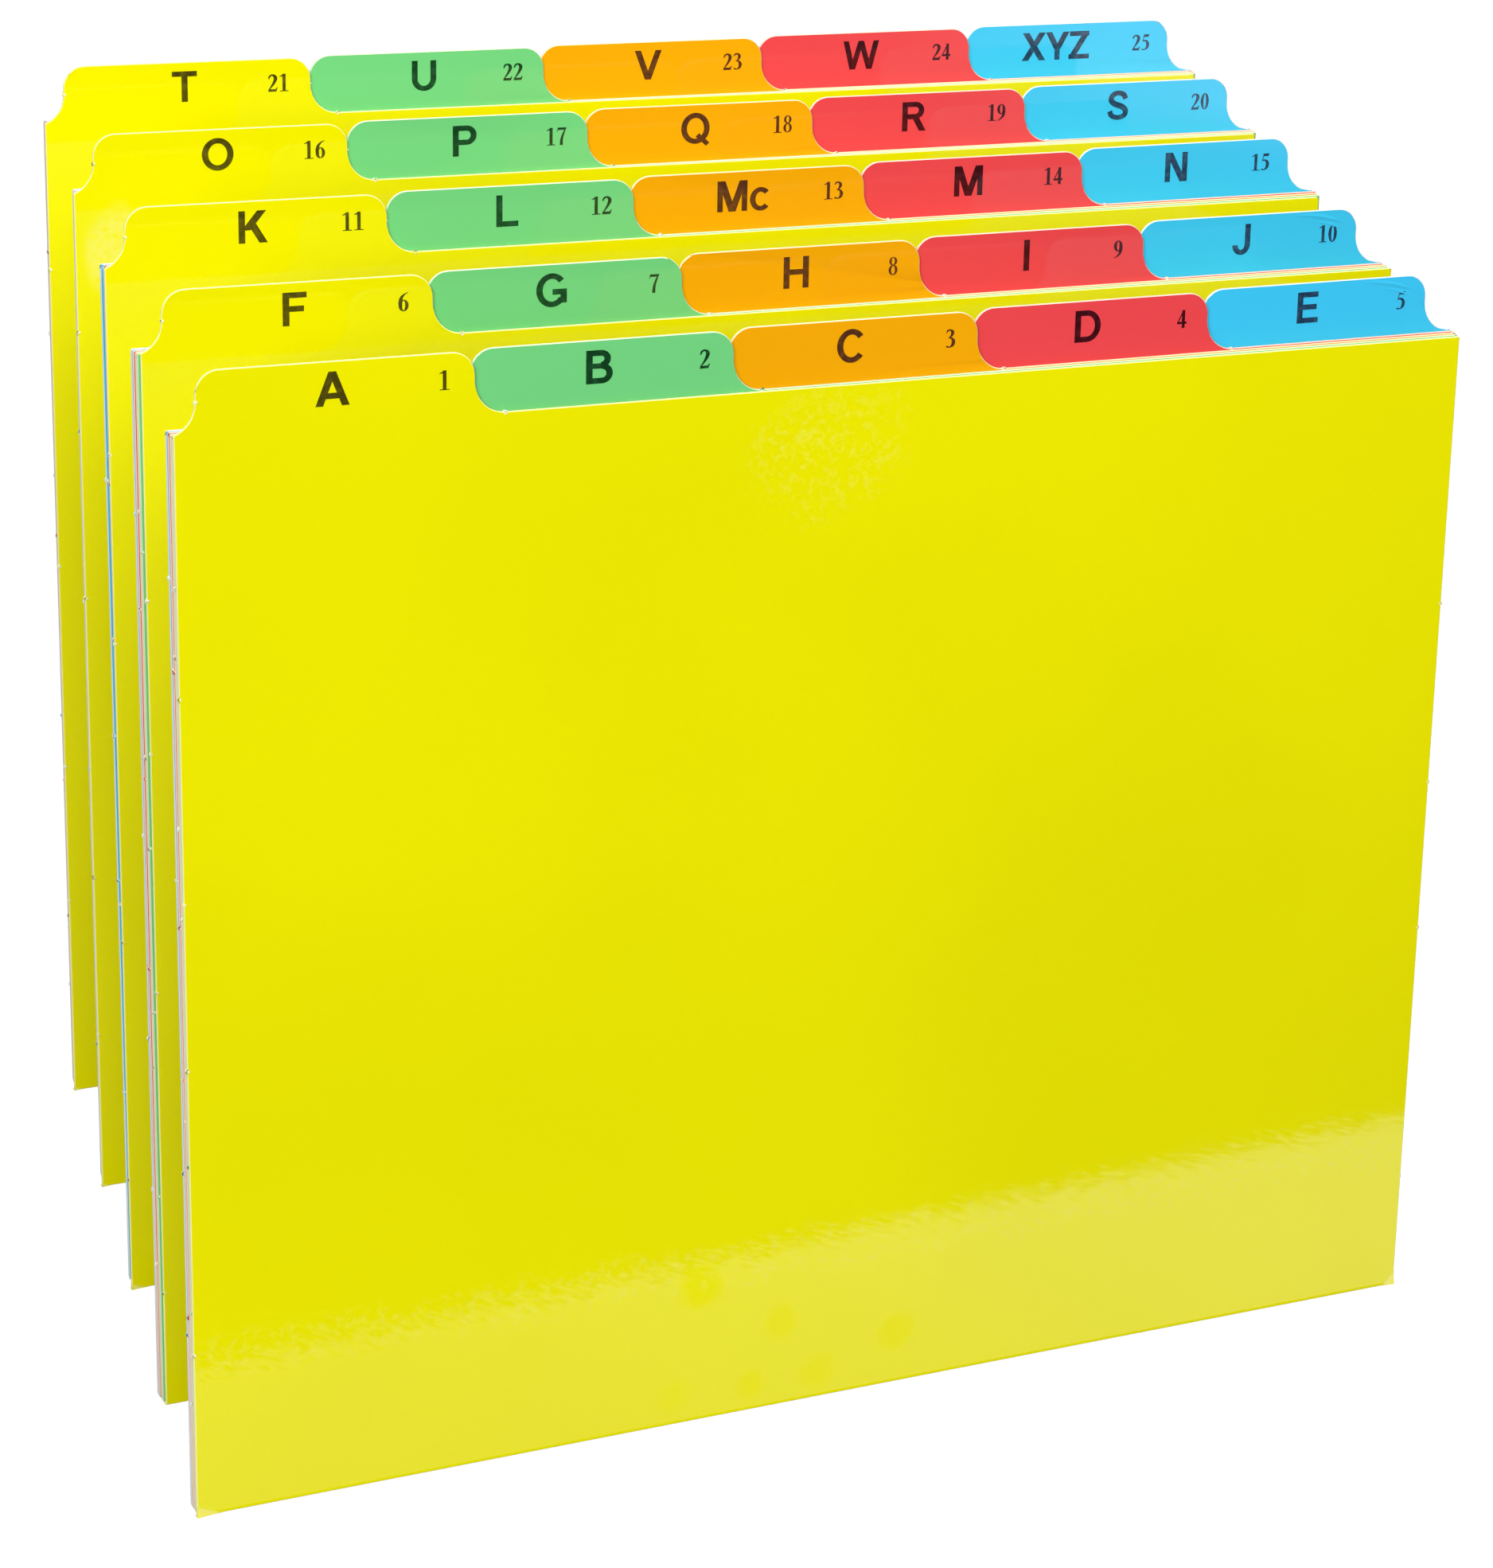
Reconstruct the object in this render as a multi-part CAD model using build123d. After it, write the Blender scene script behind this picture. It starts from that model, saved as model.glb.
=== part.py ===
from build123d import *
import math
import os

# A set of twenty-five A-Z guide cards for a file drawer.
# The cards stand on their bottom edges in five tiers of five, one tier
# behind the next, and every tier leans back at the same angle.
# Within a tier the tabs step from left to right, so every tab shows.
#
# Frame: X runs along the cards, -Y is the side the cards face, Z is up.
# The floor is Z = 0. The origin is on the floor where the back of the
# very last card meets it, midway along the rear tier.

# ---------------------------------------------------------------- sheet
SHEET_WIDTH = 298.5
SHEET_HEIGHT = 228.6
SHEET_THICKNESS = 0.6
LEAD_CORNER_RADIUS = 0.4
OTHER_CORNER_RADIUS = 1.2
TOP_CORNER_RADIUS = 0.5

# ------------------------------------------------------------------ tab
TAB_HEIGHT = 12.7
TAB_WAIST_WIDTH = 58.0
FIRST_TAB_LEFT = 4.4
TAB_PITCH = 57.2
TAB_HEAD_RADIUS = 5.0
TAB_FOOT_RADIUS = 6.5

# ------------------------------------------------- stubs from the die
# Little bumps stay on the cut edge where the sheet was held in its web.
STUB_RADIUS = 0.55
STUB_SINK = 0.32
STUBS_PER_SIDE = 4

# ------------------------------------------------------------- the set
LEAN_DEGREES = 15.0
TIER_SPACING = 38.0
TIER_SIDE_STEP = 5.0
CARD_PITCH = 0.75

# Front tier first. In each tier the front card carries the left tab.
TIERS = [
    ["a", "b", "c", "d", "e"],
    ["f", "g", "h", "i", "j"],
    ["k", "l", "mc", "m", "n"],
    ["o", "p", "q", "r", "s"],
    ["t", "u", "v", "w", "xyz"],
]

# Nobody squares the cards up perfectly. These are how far each tier has
# crept towards the rear, how far each card has slipped to the left, and
# how far the last card of each tier has tipped over on its lower left
# corner, in degrees. The cards before it share in that step by step.
TIER_CREEP = [0.0, -2.0, 0.0, 0.0, 0.0]
CARD_SLIP = [
    [0.0, 0.0, 0.0, 0.1, 0.2],
    [0.0, 0.5, 0.5, 0.7, 0.8],
    [0.0, -0.8, -0.8, -0.8, -0.4],
    [0.0, -0.8, -0.9, -0.8, -0.7],
    [0.0, -0.7, -0.6, -0.5, -0.6],
]
LAST_CARD_TIP = [0.08, 0.06, 0.10, 0.0, 0.0]

LEAN = math.radians(LEAN_DEGREES)
# From the front foot of a tier to the heel of its last card.
TIER_FOOTPRINT = (4 * CARD_PITCH + SHEET_THICKNESS) / math.cos(LEAN)


def s_curve(waist_x, side):
    """The edge from the top of the sheet up to the top of the tab.

    side is -1 for the left shoulder of a tab and 1 for the right one.
    Returns the two arcs and the short straight between them, with the
    points where the shoulder leaves the sheet and reaches the tab's top.
    """
    foot_top = SHEET_HEIGHT + TAB_FOOT_RADIUS
    head_low = SHEET_HEIGHT + TAB_HEIGHT - TAB_HEAD_RADIUS
    foot_x = waist_x + side * TAB_FOOT_RADIUS
    head_x = waist_x - side * TAB_HEAD_RADIUS
    half = math.sqrt(0.5)
    foot_mid = (
        foot_x - side * TAB_FOOT_RADIUS * half,
        foot_top - TAB_FOOT_RADIUS * half,
    )
    head_mid = (
        head_x + side * TAB_HEAD_RADIUS * half,
        head_low + TAB_HEAD_RADIUS * half,
    )
    foot_end = (foot_x, SHEET_HEIGHT)
    head_end = (head_x, SHEET_HEIGHT + TAB_HEIGHT)
    edges = [
        ThreePointArc(foot_end, foot_mid, (waist_x, foot_top)),
        Line((waist_x, foot_top), (waist_x, head_low)),
        ThreePointArc((waist_x, head_low), head_mid, head_end),
    ]
    return edges, foot_end, head_end


def tab_face(place):
    """One tab with its flared feet, a little deeper than the sheet's top."""
    left = FIRST_TAB_LEFT + TAB_PITCH * place
    right = left + TAB_WAIST_WIDTH
    left_edges, left_foot, left_head = s_curve(left, -1)
    right_edges, right_foot, right_head = s_curve(right, 1)
    low = SHEET_HEIGHT - 2 * TAB_FOOT_RADIUS
    outline = left_edges + right_edges
    outline.append(Line(left_head, right_head))
    outline.append(Line(right_foot, (right_foot[0], low)))
    outline.append(Line((right_foot[0], low), (left_foot[0], low)))
    outline.append(Line((left_foot[0], low), left_foot))
    return make_face(Wire(outline))


def stub_points(place, index):
    """Where the die left stubs: down both sides and beside the tab."""
    points = []
    for step in range(STUBS_PER_SIDE):
        wander = math.sin(2.3 * index + 1.7 * step)
        high = SHEET_HEIGHT * (0.16 + 0.22 * step) + 12 * wander
        points.append((STUB_SINK, high))
        points.append((SHEET_WIDTH - STUB_SINK, high - 9))
    left = FIRST_TAB_LEFT + TAB_PITCH * place
    right = left + TAB_WAIST_WIDTH
    if place < 4:
        points.append((right + TAB_FOOT_RADIUS, SHEET_HEIGHT - STUB_SINK))
    if place > 0:
        points.append((left - TAB_FOOT_RADIUS, SHEET_HEIGHT - STUB_SINK))
    points.append((left + STUB_SINK, SHEET_HEIGHT + TAB_FOOT_RADIUS))
    return points


def card_face(place, index):
    """The flat outline of one card, its lower left corner at the origin."""
    sheet = Pos(SHEET_WIDTH / 2, SHEET_HEIGHT / 2) * Rectangle(
        SHEET_WIDTH, SHEET_HEIGHT
    )
    corners = sheet.vertices().sort_by(Axis.Y)
    low_radius = LEAD_CORNER_RADIUS if place == 0 else OTHER_CORNER_RADIUS
    sheet = fillet(corners[:2], low_radius)
    corners = sheet.vertices().sort_by(Axis.Y)
    sheet = fillet(corners[-2:], TOP_CORNER_RADIUS)
    room = Pos(SHEET_WIDTH / 2, SHEET_HEIGHT) * Rectangle(
        SHEET_WIDTH, 4 * TAB_HEIGHT
    )
    tab = tab_face(place) & room
    outline = sheet + tab
    for point in stub_points(place, index):
        outline += Pos(*point) * Circle(STUB_RADIUS)
    return outline


def card_seat(tier, order):
    """Where a card stands: its front face leans back, tipped in its plane."""
    depth = order * CARD_PITCH
    tip = LAST_CARD_TIP[tier] * order / 4
    front = Vector(0, -math.cos(LEAN), math.sin(LEAN))
    up_the_card = Vector(0, math.sin(LEAN), math.cos(LEAN))
    rise = (depth + SHEET_THICKNESS) * math.tan(LEAN)
    corner = Vector(
        TIER_SIDE_STEP * (tier - 4) - SHEET_WIDTH / 2 - CARD_SLIP[tier][order],
        TIER_SPACING * (tier - 4) + TIER_CREEP[tier] - TIER_FOOTPRINT,
        0,
    )
    corner = corner - front * depth + up_the_card * rise
    seat = Plane(origin=corner, x_dir=(1, 0, 0), z_dir=front)
    return seat.location * Rot(0, 0, tip)


def guide_card(tier, order):
    """One guide card, standing in its place in the set."""
    outline = card_face(order, tier * 5 + order)
    sheet = extrude(outline, amount=-SHEET_THICKNESS)
    return card_seat(tier, order) * sheet


os.makedirs("parts", exist_ok=True)

for tier, names in enumerate(TIERS):
    for order, name in enumerate(names):
        card = guide_card(tier, order)
        export_step(card, f"parts/guide_{name}.step")
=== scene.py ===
import math
import random

import bmesh
import bpy
from mathutils import Matrix, Vector
from mathutils.geometry import delaunay_2d_cdt


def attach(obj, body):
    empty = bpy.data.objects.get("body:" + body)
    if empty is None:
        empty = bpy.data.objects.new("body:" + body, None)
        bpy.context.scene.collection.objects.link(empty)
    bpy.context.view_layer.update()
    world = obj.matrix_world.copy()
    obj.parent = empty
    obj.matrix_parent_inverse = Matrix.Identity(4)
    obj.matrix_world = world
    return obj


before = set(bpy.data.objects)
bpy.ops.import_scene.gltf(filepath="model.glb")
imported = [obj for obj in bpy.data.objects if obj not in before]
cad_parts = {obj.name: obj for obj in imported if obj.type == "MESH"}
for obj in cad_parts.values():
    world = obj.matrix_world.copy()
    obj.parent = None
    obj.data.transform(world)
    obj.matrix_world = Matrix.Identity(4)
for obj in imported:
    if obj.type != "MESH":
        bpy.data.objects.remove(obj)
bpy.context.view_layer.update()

MM = 0.001

# ------------------------------------------------------------------ the set
# The same numbers as the CAD source, in millimetres.
TIERS = [
    ["a", "b", "c", "d", "e"],
    ["f", "g", "h", "i", "j"],
    ["k", "l", "mc", "m", "n"],
    ["o", "p", "q", "r", "s"],
    ["t", "u", "v", "w", "xyz"],
]
COLOURS = ["yellow", "green", "orange", "red", "blue"]
LAST = 4  # the last tier, and the last card of a tier, counted from 0
SHEET_WIDTH = 298.5
SHEET_HEIGHT = 228.6
SHEET_THICKNESS = 0.6
TAB_HEIGHT = 12.7
TAB_WAIST = 58.0
TAB_LEFT = 4.4
TAB_PITCH = 57.2
TAB_FOOT = 6.5
LEAN = math.radians(15)
TIER_SPACING = 38.0
TIER_SIDE_STEP = 5.0
CARD_PITCH = 0.75
FOOTPRINT = (LAST * CARD_PITCH + SHEET_THICKNESS) / math.cos(LEAN)
TIER_CREEP = [0.0, -2.0, 0.0, 0.0, 0.0]
CARD_SLIP = [
    [0.0, 0.0, 0.0, 0.1, 0.2],
    [0.0, 0.5, 0.5, 0.7, 0.8],
    [0.0, -0.8, -0.8, -0.8, -0.4],
    [0.0, -0.8, -0.9, -0.8, -0.7],
    [0.0, -0.7, -0.6, -0.5, -0.6],
]
LAST_CARD_TIP = [0.08, 0.06, 0.10, 0.0, 0.0]
FRONT = Vector((0, -math.cos(LEAN), math.sin(LEAN)))
UP = Vector((0, math.sin(LEAN), math.cos(LEAN)))


def seat(tier, order):
    """From card space in millimetres to the scene in metres.

    In card space x runs along the card, y up it and z out of its front.
    """
    depth = order * CARD_PITCH
    rise = (depth + SHEET_THICKNESS) * math.tan(LEAN)
    corner = Vector(
        (
            TIER_SIDE_STEP * (tier - LAST) - SHEET_WIDTH / 2 - CARD_SLIP[tier][order],
            TIER_SPACING * (tier - LAST) + TIER_CREEP[tier] - FOOTPRINT,
            0,
        )
    )
    corner = corner - FRONT * depth + UP * rise
    place = Matrix.Identity(4)
    for row in range(3):
        place[row][0] = (1, 0, 0)[row]
        place[row][1] = UP[row]
        place[row][2] = FRONT[row]
        place[row][3] = corner[row]
    turn = Matrix.Rotation(math.radians(LAST_CARD_TIP[tier] * order / LAST), 4, "Z")
    return Matrix.Scale(MM, 4) @ place @ turn


def card_point(tier, order, x, y):
    """A spot on a card's front face, in the scene."""
    return seat(tier, order) @ Vector((x, y, 0))


def srgb(red, green, blue):
    """A display colour, 0 to 255, as the linear one that a shader takes."""
    linear = []
    for level in (red, green, blue):
        level /= 255
        linear.append(level / 12.92 if level <= 0.04045 else ((level + 0.055) / 1.055) ** 2.4)
    return (*linear, 1.0)


WHITE = (1, 1, 1, 1)


# ---------------------------------------------------------------- materials
class Nodes:
    """The node tree of a material or of the world, with short ways to add nodes and links."""

    def __init__(self, owner):
        self.owner = owner
        owner.use_nodes = True
        self.tree = owner.node_tree
        self.tree.nodes.clear()

    def add(self, kind, settings=None, **inputs):
        """A node. Spaces in the names of its inputs are written as underscores."""
        node = self.tree.nodes.new(kind)
        for key, value in (settings or {}).items():
            setattr(node, key, value)
        for key, value in inputs.items():
            self.put(node, key.replace("_", " "), value)
        return node

    def put(self, node, socket, value):
        """Sets or links an input, named, or numbered as "#0"."""
        target = node.inputs[int(socket[1:])] if socket[0] == "#" else node.inputs[socket]
        if isinstance(value, bpy.types.NodeSocket):
            self.tree.links.new(value, target)
        else:
            target.default_value = value

    def maths(self, operation, a, b=None):
        node = self.add("ShaderNodeMath", {"operation": operation})
        self.put(node, "#0", a)
        if b is not None:
            self.put(node, "#1", b)
        return node.outputs[0]

    def vector(self, operation, a, b=None):
        """The whole node, because its result is in "Vector" or in "Value"."""
        node = self.add("ShaderNodeVectorMath", {"operation": operation})
        self.put(node, "#0", a)
        if b is not None:
            self.put(node, "#1", b)
        return node

    def ramp(self, value, low, high, out_low=0.0, out_high=1.0):
        """A smooth step from out_low at low to out_high at high."""
        node = self.add("ShaderNodeMapRange", {"interpolation_type": "SMOOTHSTEP"})
        self.put(node, "Value", value)
        self.put(node, "From Min", low)
        self.put(node, "From Max", high)
        self.put(node, "To Min", out_low)
        self.put(node, "To Max", out_high)
        return node.outputs[0]

    def mix(self, factor, a, b):
        node = self.add("ShaderNodeMix", {"data_type": "RGBA"})
        self.put(node, "#0", factor)
        self.put(node, "#6", a)
        self.put(node, "#7", b)
        return node.outputs[2]

    def noise(self, where, scale, detail=3.0, rough=0.5):
        node = self.add("ShaderNodeTexNoise", {"noise_dimensions": "3D"})
        self.put(node, "Vector", where)
        self.put(node, "Scale", scale)
        self.put(node, "Detail", detail)
        self.put(node, "Roughness", rough)
        return node.outputs["Fac"]

    def place(self):
        """Where the shaded spot is, in the scene at rest."""
        return self.add("ShaderNodeTexCoord").outputs["Object"]

    def stretched(self, where, scale):
        node = self.add("ShaderNodeMapping")
        self.put(node, "Vector", where)
        self.put(node, "Scale", scale)
        return node.outputs[0]

    def blend(self, factor, one, other):
        """Two shaders, the first where factor is 0 and the other where it is 1."""
        node = self.add("ShaderNodeMixShader")
        self.put(node, "#0", factor)
        self.put(node, "#1", one)
        self.put(node, "#2", other)
        return node.outputs[0]

    def ray(self, kind):
        """1 for light rays of one kind, such as "Is Camera Ray"."""
        return self.add("ShaderNodeLightPath").outputs[kind]

    def finish(self, shader, kind="ShaderNodeOutputMaterial"):
        out = self.add(kind)
        self.put(out, "Surface", shader)
        return self.owner


def material_nodes(name):
    return Nodes(bpy.data.materials.new(name))


def flat_normal(nodes):
    """The facet's own normal, so that the sheets stay dead flat up to their edges."""
    return nodes.add("ShaderNodeNewGeometry").outputs["True Normal"]


USUAL_DULLNESS = 0.06
FRONT_CARD_DULLNESS = 0.02
FILM_IOR = 1.52


def film(nodes, spot, colour, weight=1.0, dull=USUAL_DULLNESS):
    """Print under a gloss film. The film's roughness drifts from dull upwards."""
    roughness = nodes.ramp(nodes.noise(spot, 26.0), 0.3, 0.75, dull, 1.6 * dull)
    shader = nodes.add("ShaderNodeBsdfPrincipled", Roughness=0.55)
    nodes.put(shader, "Base Color", colour)
    nodes.put(shader, "Specular IOR Level", 0.05)
    nodes.put(shader, "Normal", flat_normal(nodes))
    nodes.put(shader, "Coat Weight", weight)
    nodes.put(shader, "Coat IOR", FILM_IOR)
    nodes.put(shader, "Coat Roughness", roughness)
    nodes.put(shader, "Coat Normal", flat_normal(nodes))
    return shader.outputs[0]


# What light picks up between two cards: every mixture of the five colours is a dull cream.
BOUNCE_COLOUR = (0.60, 0.56, 0.10, 1.0)


def painted_sheen(nodes, spot, colour, centre, half_wide, half_high, cover, strength):
    """Painted sheen: pale specks over a patch of the face, standing for the gloss film reflecting
    light there.

    cover is 0 for a few fine specks and rises to 1 for an even haze.
    """
    away = nodes.vector("SUBTRACT", spot, centre).outputs["Vector"]
    size = (half_wide * MM, half_high * MM, half_high * MM)
    reach = nodes.vector("LENGTH", nodes.vector("DIVIDE", away, size).outputs["Vector"])
    drift = nodes.maths("MULTIPLY", nodes.noise(spot, 90.0, 2.0), 1.1)
    inside = nodes.ramp(nodes.maths("ADD", reach.outputs["Value"], drift), 1.2, 1.75, 1.0, 0.0)
    grain = nodes.noise(spot, 560.0, 4.0, 0.65)
    specks = nodes.ramp(grain, 0.49 - 0.4 * cover, 0.68 - 0.2 * cover)
    amount = nodes.maths("MULTIPLY", nodes.maths("MULTIPLY", inside, specks), strength)
    return nodes.mix(amount, colour, WHITE)


def smudged(nodes, spot, smudges):
    """The weight of the film, lowered over round marks: (x, y, z, radius, strength)."""
    weight = 1.0
    wobble = nodes.noise(spot, 150.0, 2.0)
    for x, y, z, radius, strength in smudges:
        gap = nodes.vector("DISTANCE", spot, (x, y, z)).outputs["Value"]
        reach = nodes.maths("ADD", gap, nodes.maths("MULTIPLY", wobble, radius * 0.9))
        dulled = nodes.ramp(reach, radius * 0.9, radius * 1.75, 1.0 - strength, 1.0)
        weight = nodes.maths("MULTIPLY", weight, dulled)
    return weight


def face_not_edge(nodes):
    """1 on a sheet's two faces and 0 on its cut edges, however the card is turned."""
    ways = {"vector_type": "NORMAL", "convert_from": "WORLD", "convert_to": "OBJECT"}
    own = nodes.add("ShaderNodeVectorTransform", ways)
    nodes.put(own, "#0", flat_normal(nodes))
    facing = nodes.vector("DOT_PRODUCT", own.outputs[0], tuple(FRONT)).outputs["Value"]
    return nodes.ramp(nodes.maths("ABSOLUTE", facing), 0.80, 0.92)


def sheet_material(name, face, core, smudges=(), sheen_patches=(), dull=USUAL_DULLNESS):
    """Printed gloss on the faces, pale core on the cut edges."""
    nodes = material_nodes(name)
    spot = nodes.place()

    # the print: a slow drift in density
    shade = [c * 0.955 for c in face[:3]] + [1.0]
    colour = nodes.mix(nodes.ramp(nodes.noise(spot, 9.0, 2.0), 0.35, 0.7), face, shade)
    colour = nodes.mix(nodes.ray("Is Diffuse Ray"), colour, BOUNCE_COLOUR)
    # painted sheen: pale specks where the gloss film reflects light
    for sheen_patch in sheen_patches:
        colour = painted_sheen(nodes, spot, colour, *sheen_patch)
    weight = smudged(nodes, spot, smudges) if smudges else 1.0
    printed = film(nodes, spot, colour, weight, dull)

    # the cut edge: layered fibres, tinted a little by the print
    fibres = nodes.noise(nodes.stretched(spot, (1.0, 9.0, 1.0)), 900.0, 3.0)
    edge_colour = nodes.mix(nodes.ramp(fibres, 0.3, 0.75, 0.0, 0.09), core, face)
    edge = nodes.add("ShaderNodeBsdfPrincipled", Roughness=0.6)
    nodes.put(edge, "Base Color", edge_colour)
    return nodes.finish(nodes.blend(face_not_edge(nodes), edge.outputs[0], printed))


def ink_material(name, ink, thin):
    """Dark ink, thinner in places, under the same gloss film as the card."""
    nodes = material_nodes(name)
    spot = nodes.place()
    patchy = nodes.ramp(nodes.noise(spot, 700.0, 3.0), 0.35, 0.85)
    return nodes.finish(film(nodes, spot, nodes.mix(patchy, ink, thin)))


def torn_material(name):
    """Torn white fibres where a card was snapped out of its web."""
    nodes = material_nodes(name)
    fibres = nodes.ramp(nodes.noise(nodes.place(), 2500.0, 3.0), 0.3, 0.8)
    shader = nodes.add("ShaderNodeBsdfPrincipled", Roughness=0.8)
    colour = nodes.mix(fibres, srgb(252, 251, 240), srgb(226, 224, 206))
    nodes.put(shader, "Base Color", colour)
    return nodes.finish(shader.outputs[0])


FACE = {
    "yellow": srgb(246, 240, 0),
    "green": srgb(118, 216, 132),
    "orange": srgb(252, 174, 8),
    "red": srgb(242, 74, 80),
    "blue": srgb(64, 204, 252),
}
CORE = {
    "yellow": srgb(240, 236, 168),
    "green": srgb(214, 226, 194),
    "orange": srgb(238, 218, 182),
    "red": srgb(232, 206, 190),
    "blue": srgb(214, 218, 222),
}
INK = {
    "yellow": (srgb(70, 62, 12), srgb(104, 94, 20)),
    "green": (srgb(18, 60, 30), srgb(34, 92, 50)),
    "orange": (srgb(82, 44, 26), srgb(118, 70, 30)),
    "red": (srgb(56, 12, 20), srgb(92, 24, 34)),
    "blue": (srgb(30, 56, 84), srgb(60, 96, 128)),
}


# Finger marks that dull the film low on the very front card: x, y, radius, strength.
FINGER_MARKS = [
    (115, 31.5, 5.4, 0.85),
    (135, 20, 3.9, 0.55),
    (164, 12.5, 4.9, 0.55),
    (144, 6, 4.7, 0.45),
    (128, 6, 3.8, 0.5),
    (109, 6, 4.3, 0.35),
]
SMUDGES = [(*card_point(0, 0, x, y), r * MM, strength) for x, y, r, strength in FINGER_MARKS]
# Painted sheen patches, pale specks where the gloss reflects light: near the top of A, along the
# upper edge of the floor's reflection low on A, and on O's left shoulder. Each is centre, half
# width, half height, cover, strength.
SHEEN_ON_A = (tuple(card_point(0, 0, 141, 215)), 18, 14, 0.06, 0.034)
SHEEN_LOW_ON_A = (tuple(card_point(0, 0, 150, 35.5)), 230, 6, 0.05, 0.036)
SHEEN_ON_O = (tuple(card_point(3, 0, 10, 216)), 8, 9, 0.6, 0.10)
YELLOW = (FACE["yellow"], CORE["yellow"])
# Pale yellow of the bent corners: a painted highlight where the bend catches light, together with
# crease whitening.
BENT_YELLOW_HIGHLIGHT_AND_WHITENING = (srgb(250, 243, 104), CORE["yellow"])

SHEETS = {c: sheet_material(f"{c}_sheet", FACE[c], CORE[c]) for c in COLOURS}
SHEENS_ON_A = (SHEEN_ON_A, SHEEN_LOW_ON_A)
# Sheet a carries finger marks and painted sheen, sheet o only painted sheen.
HANDLED_AND_SHEEN_SHEETS = {
    "a": sheet_material("yellow_sheet_a", *YELLOW, SMUDGES, SHEENS_ON_A, FRONT_CARD_DULLNESS),
    "o": sheet_material("yellow_sheet_o", *YELLOW, (), (SHEEN_ON_O,)),
}
BENT_SHEET_HIGHLIGHT_AND_WHITENING = sheet_material("yellow_sheet_bent_highlight_and_whitening", *BENT_YELLOW_HIGHLIGHT_AND_WHITENING)
INKS = {c: ink_material(f"{c}_ink", *INK[c]) for c in COLOURS}
TORN = torn_material("torn_core")

WELD_GAP = 0.001 * MM
CHAMFER = 0.18 * MM


def paint(obj, material):
    """Gives a piece one material all over."""
    obj.data.materials.clear()
    obj.data.materials.append(material)


def soften_edges(obj):
    """A fine chamfer round the cut edge, where the film has chipped back."""
    weld = obj.modifiers.new("weld", "WELD")
    weld.merge_threshold = WELD_GAP
    chamfer = obj.modifiers.new("chamfer", "BEVEL")
    chamfer.width = CHAMFER
    chamfer.segments = 1
    chamfer.limit_method = "ANGLE"
    chamfer.angle_limit = math.radians(50)
    chamfer.use_clamp_overlap = False


def mesh_object(name, mesh):
    obj = bpy.data.objects.new(name, mesh)
    bpy.context.scene.collection.objects.link(obj)
    return obj


def piece_on_card(name, bm, tier, order, material, smooth=False):
    """A mesh drawn in card space, as a piece that rides on its card."""
    bmesh.ops.transform(bm, matrix=seat(tier, order), verts=bm.verts)
    mesh = bpy.data.meshes.new(name)
    bm.to_mesh(mesh)
    bm.free()
    for polygon in mesh.polygons:
        polygon.use_smooth = smooth
    obj = mesh_object(name, mesh)
    paint(obj, material)
    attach(obj, "card_" + TIERS[tier][order])
    return obj


# ----------------------------------------------------------------- lettering
# Glyphs are plain shapes on a cap height of 1, each a list of polygons
# that overlap and are joined into one outline afterwards.
STEM = 0.195
BAR = 0.17


def rect(x0, y0, x1, y1):
    """An upright block from one corner to the other."""
    return [(x0, y0), (x1, y0), (x1, y1), (x0, y1)]


def slant(x0, y0, x1, y1, wide=STEM * 1.1):
    """A leaning stroke whose ends are cut level."""
    half = wide / 2
    return [(x0 - half, y0), (x0 + half, y0), (x1 + half, y1), (x1 - half, y1)]


def band(left, right):
    """The quads between two lines of points."""
    quads = []
    for i in range(len(left) - 1):
        quads.append([left[i], left[i + 1], right[i + 1], right[i]])
    return quads


def ring(cx, cy, rx, ry, start, end, side=STEM, cap=BAR):
    """Part of a bowl, side thick at its flanks and cap thick at its top and bottom."""
    steps = max(6, round(abs(end - start) / 8))
    outer, inner = [], []
    for k in range(steps + 1):
        angle = math.radians(start + (end - start) * k / steps)
        across, up = math.cos(angle), math.sin(angle)
        outer.append((cx + rx * across, cy + ry * up))
        inner.append((cx + (rx - side) * across, cy + (ry - cap) * up))
    return band(outer, inner)


def smooth_between(a, b, c, d, t):
    """A smooth curve that leaves b at t = 0 and reaches c at t = 1, past a and d."""
    slope = (c - a) * t
    square = (2 * a - 5 * b + 4 * c - d) * t * t
    cube = (3 * b - a - 3 * c + d) * t * t * t
    return 0.5 * (2 * b + slope + square + cube)


def brush(points, steps=5):
    """A stroke that swells and thins: points are (x, y, width)."""
    ends = [points[0]] + list(points) + [points[-1]]
    path = []
    for i in range(1, len(ends) - 2):
        four = list(zip(*ends[i - 1 : i + 3]))
        for k in range(steps):
            path.append(tuple(smooth_between(*values, k / steps) for values in four))
    path.append(points[-1])
    left, right = [], []
    for i, (x, y, w) in enumerate(path):
        x0, y0, _ = path[max(i - 1, 0)]
        x1, y1, _ = path[min(i + 1, len(path) - 1)]
        length = math.hypot(x1 - x0, y1 - y0) or 1.0
        nx, ny = -(y1 - y0) / length * w / 2, (x1 - x0) / length * w / 2
        left.append((x + nx, y + ny))
        right.append((x - nx, y - ny))
    return band(left, right)


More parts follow.
